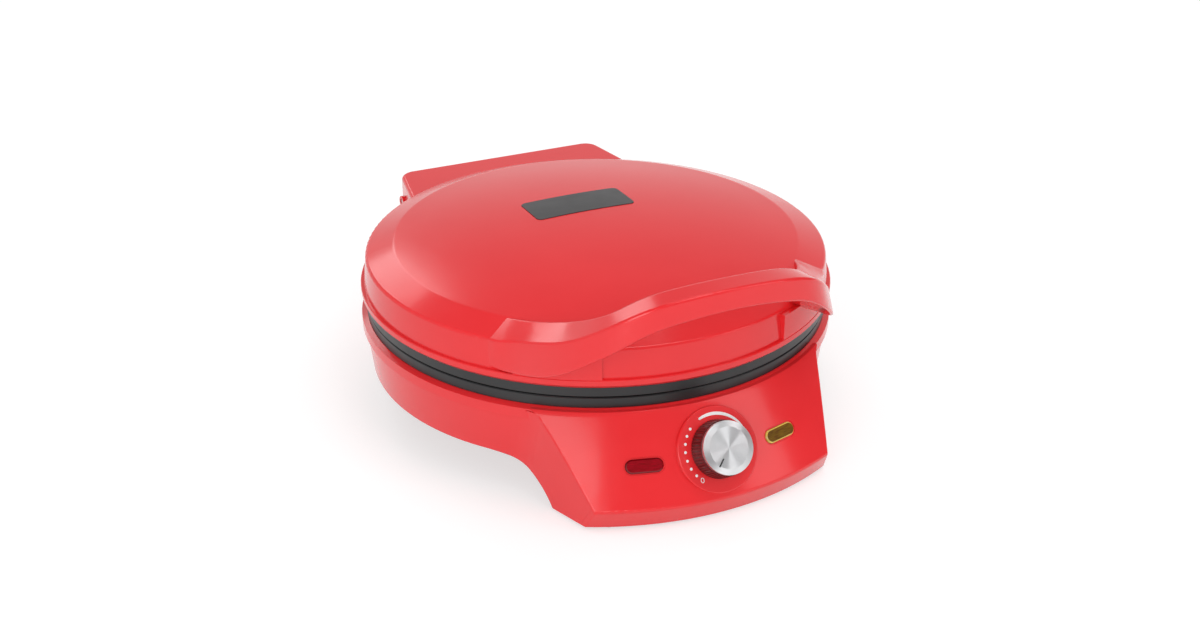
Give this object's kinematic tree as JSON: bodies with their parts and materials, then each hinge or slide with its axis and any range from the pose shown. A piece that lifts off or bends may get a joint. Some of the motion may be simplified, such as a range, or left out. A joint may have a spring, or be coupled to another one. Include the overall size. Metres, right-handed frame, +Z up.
{
  "type": "electric pizza maker",
  "caption": "Round countertop two-plate electric baker with a hinged domed lid, front handle arch, flared control panel with a knob and two lamps.",
  "frame": {"origin": "on the worktop, under the centre of the round baking plates", "axes": "+Z up, -Y to the front (control panel and handle), +X to the right seen from the front"},
  "size_m": [0.34, 0.4243, 0.1668],
  "materials": {
    "red_plastic": "glossy red moulded plastic",
    "black_nonstick": "cast aluminium with a black non-stick coat",
    "steel": "plain steel",
    "turned_aluminium": "turned, bright edge",
    "knob_plastic": "very dark red, finely ribbed",
    "dark_plastic": "black heat-resistant plastic",
    "black_rubber": "matt black rubber",
    "element_sheath": "heat-darkened tube",
    "white_ceramic": "white insulating body",
    "thermostat_body": "brown moulded body",
    "red_lens": "clear dark red lens",
    "amber_lens": "clear amber lens",
    "lamp_glass": "clear glass lamp",
    "nameplate_metal": "dark grey, satin, bare"
  },
  "bodies": {
    "base": {"base_shell": "red_plastic", "front_panel": "red_plastic", "bottom_cover": "dark_plastic", "cord_gland": "black_rubber", "cover_screws": "steel", "panel_screws": "steel", "front_feet": "black_rubber", "rear_feet": "black_rubber", "lower_plate": "black_nonstick", "lower_element": "element_sheath", "lower_element_clamps": "steel", "lower_heat_shield": "steel", "lower_thermal_fuse": "white_ceramic", "terminal_block": "white_ceramic", "power_lens": "red_lens", "ready_lens": "amber_lens", "power_lamp": "lamp_glass", "ready_lamp": "lamp_glass", "lamp_holders": "dark_plastic", "thermostat": "thermostat_body", "thermostat_bracket": "steel", "thermostat_screws": "steel"},
    "lid": {"lid_cap": "red_plastic", "lid_inner_shell": "red_plastic", "handle_liner": "red_plastic", "liner_screws": "steel", "nameplate": "nameplate_metal", "upper_plate": "black_nonstick", "upper_element": "element_sheath", "upper_element_clamps": "steel", "upper_heat_shield": "steel", "upper_thermal_fuse": "white_ceramic", "upper_shield_screws": "steel", "lid_plate_screws": "steel", "hinge_pins": "steel", "hinge_under_cover": "dark_plastic", "hinge_cover_screws": "steel"},
    "knob": {"knob_body": "knob_plastic", "knob_cap": "turned_aluminium", "thermostat_shaft": "steel"}
  },
  "joints": [
    {"name": "lid_hinge", "type": "hinge", "parent": "base", "child": "lid", "pos_m": [0, 0.175, 0.093], "axis": [-1, 0, 0], "range_deg": [0, 100]},
    {"name": "knob_turn", "type": "hinge", "parent": "base", "child": "knob", "pos_m": [0, -0.19025, 0.04405], "axis": [0, 0.848, -0.5299], "range_deg": [0, 268]}
  ]
}
